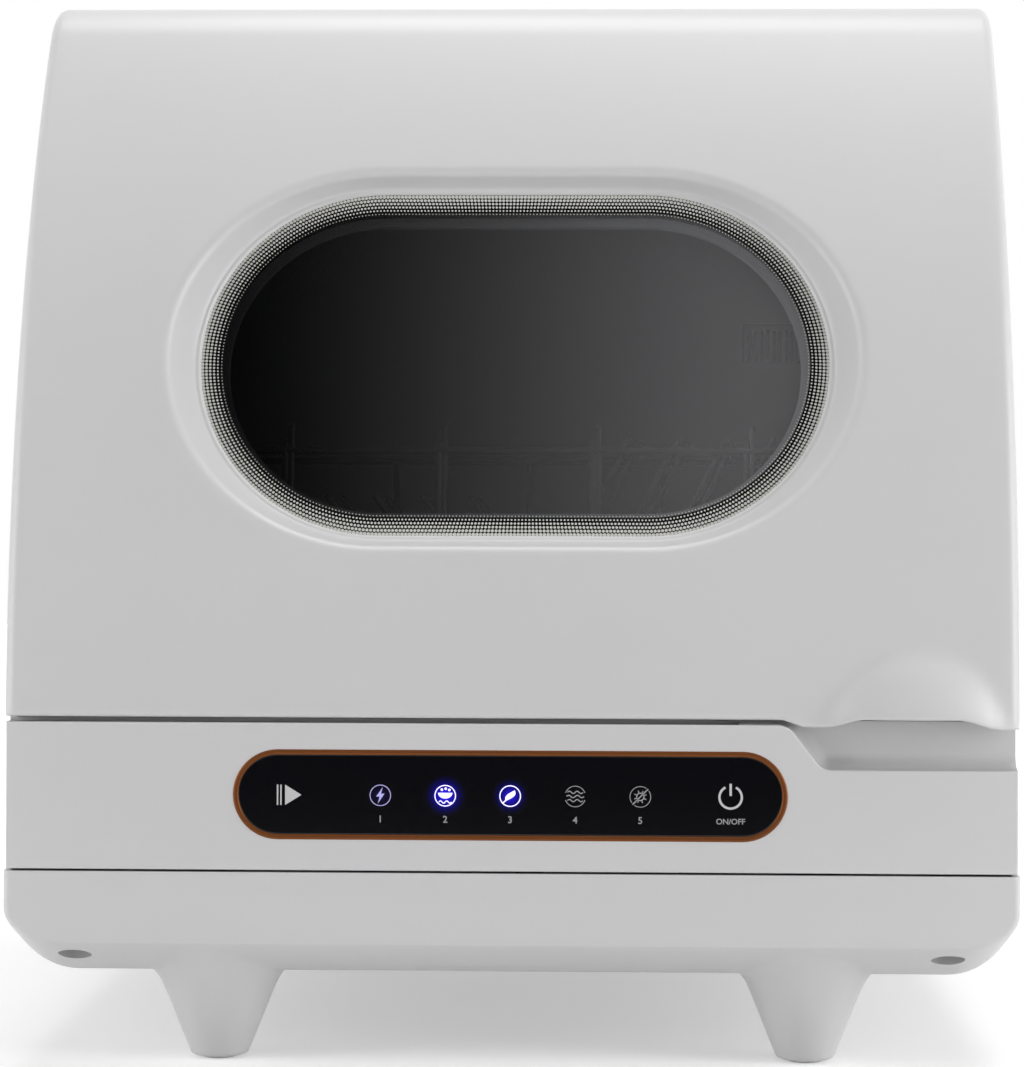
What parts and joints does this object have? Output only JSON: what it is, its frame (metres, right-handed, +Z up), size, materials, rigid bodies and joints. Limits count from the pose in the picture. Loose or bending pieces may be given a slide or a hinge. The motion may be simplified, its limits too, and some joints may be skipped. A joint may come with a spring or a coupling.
{
  "type": "countertop dishwasher",
  "caption": "Countertop dishwasher with a swing-up hood, oval smoked window, key panel in the fascia, a wire rack inside and four short legs.",
  "frame": {"origin": "on the floor, below the middle of the case", "axes": "+X to the right seen from the front, +Y to the back, +Z up"},
  "size_m": [0.42, 0.4348, 0.46],
  "materials": {
    "case_plastic": "satin off-white ABS",
    "pad_rubber": "soft light grey rubber",
    "screw_steel": "zinc plated",
    "key_glass": "gloss black panel",
    "rim_copper": "copper-coloured satin rim",
    "circuit_board": "green lacquered board",
    "spring_steel": "bright wire",
    "tub_plastic": "dark grey polypropylene",
    "seal_rubber": "black silicone",
    "rack_coating": "dark nylon-coated wire",
    "heater_steel": "dull stainless tube",
    "smoked_glass": "smoked toughened glass",
    "frame_steel": "galvanised sheet",
    "pump_plastic": "glass-filled nylon",
    "motor_steel": "coated motor can",
    "hose_rubber": "ribless rubber hose",
    "tank_plastic": "milky polypropylene",
    "inlet_brass": "turned brass"
  },
  "bodies": {
    "cabinet": {"base_tray": "case_plastic", "foot_pads": "pad_rubber", "case_screws": "screw_steel", "left_side_panel": "case_plastic", "right_side_panel": "case_plastic", "rear_cover": "case_plastic", "rear_crown": "case_plastic", "hinge_deck": "frame_steel", "inner_frame": "case_plastic", "front_fascia": "case_plastic", "control_bezel": "rim_copper", "control_glass": "key_glass", "control_board": "circuit_board", "touch_springs": "spring_steel", "main_board": "circuit_board", "cord_gland": "pump_plastic", "wash_tub": "tub_plastic", "tub_seal": "seal_rubber", "spray_post": "pump_plastic", "spray_nut": "pump_plastic", "heating_element": "heater_steel", "sump_housing": "pump_plastic", "wash_pump_volute": "pump_plastic", "wash_pump_motor": "motor_steel", "drain_pump_volute": "pump_plastic", "drain_pump_motor": "motor_steel", "pump_mounts": "pad_rubber", "supply_hose": "hose_rubber", "drain_hose": "hose_rubber", "drain_spigot": "pump_plastic", "inlet_valve": "inlet_brass", "inlet_hose": "hose_rubber", "water_tank": "tank_plastic", "tank_shelf": "frame_steel", "blower_housing": "pump_plastic", "fan_motor": "motor_steel", "air_heater": "heater_steel", "hinge_brackets": "frame_steel", "hinge_pins": "frame_steel", "catch_magnets": "motor_steel", "door_switch": "pump_plastic"},
    "hood": {"door_shell": "case_plastic", "door_liner": "tub_plastic", "door_glass": "smoked_glass", "window_seal": "seal_rubber", "hinge_arms": "frame_steel", "strike_plates": "frame_steel", "liner_screws": "screw_steel"},
    "rack": {"rack_basket": "rack_coating", "plate_tines": "rack_coating", "bowl_tines": "rack_coating", "rack_feet": "rack_coating"},
    "spray_arm_body": {"spray_arm": "pump_plastic"},
    "wash_wheel": {"wash_pump_rotor": "pump_plastic"},
    "drain_wheel": {"drain_pump_rotor": "pump_plastic"},
    "fan_wheel": {"fan_rotor": "pump_plastic"},
    "filter": {"filter_cup": "pump_plastic"},
    "float": {"float_cap": "pump_plastic"},
    "plunger": {"switch_plunger": "pump_plastic"},
    "fill_flap": {"fill_cap": "case_plastic"}
  },
  "joints": [
    {"name": "hood_hinge", "type": "hinge", "parent": "cabinet", "child": "hood", "pos_m": [0, 0.126, 0.45], "axis": [-1, 0, 0], "range_deg": [0, 75]},
    {"name": "rack_lift", "type": "slide", "parent": "cabinet", "child": "rack", "axis": [0, 0, 1], "range_m": [0, 0.05]},
    {"name": "spray_arm_spin", "type": "hinge", "parent": "cabinet", "child": "spray_arm_body", "pos_m": [0, -0.045, 0.124], "axis": [0, 0, 1], "continuous": true},
    {"name": "wash_wheel_spin", "type": "hinge", "parent": "cabinet", "child": "wash_wheel", "pos_m": [0.083, -0.122, 0.078], "axis": [1, 0, 0], "continuous": true},
    {"name": "drain_wheel_spin", "type": "hinge", "parent": "cabinet", "child": "drain_wheel", "pos_m": [0.136, -0.075, 0.078], "axis": [0, -1, 0], "continuous": true},
    {"name": "fan_spin", "type": "hinge", "parent": "cabinet", "child": "fan_wheel", "pos_m": [0.125, 0.168, 0.3], "axis": [0, 1, 0], "continuous": true},
    {"name": "filter_twist", "type": "hinge", "parent": "cabinet", "child": "filter", "pos_m": [0.136, -0.122, 0.108], "axis": [0, 0, 1], "range_deg": [0, 45]},
    {"name": "float_rise", "type": "slide", "parent": "cabinet", "child": "float", "axis": [0, 0, 1], "range_m": [0, 0.008]},
    {"name": "switch_press", "type": "slide", "parent": "cabinet", "child": "plunger", "axis": [0, 0.6753, -0.7375], "range_m": [0, 0.002], "stiffness_N_per_m": 200},
    {"name": "fill_flap_hinge", "type": "hinge", "parent": "cabinet", "child": "fill_flap", "pos_m": [-0.11, 0.192, 0.4565], "axis": [-1, 0, 0], "range_deg": [0, 95]}
  ]
}
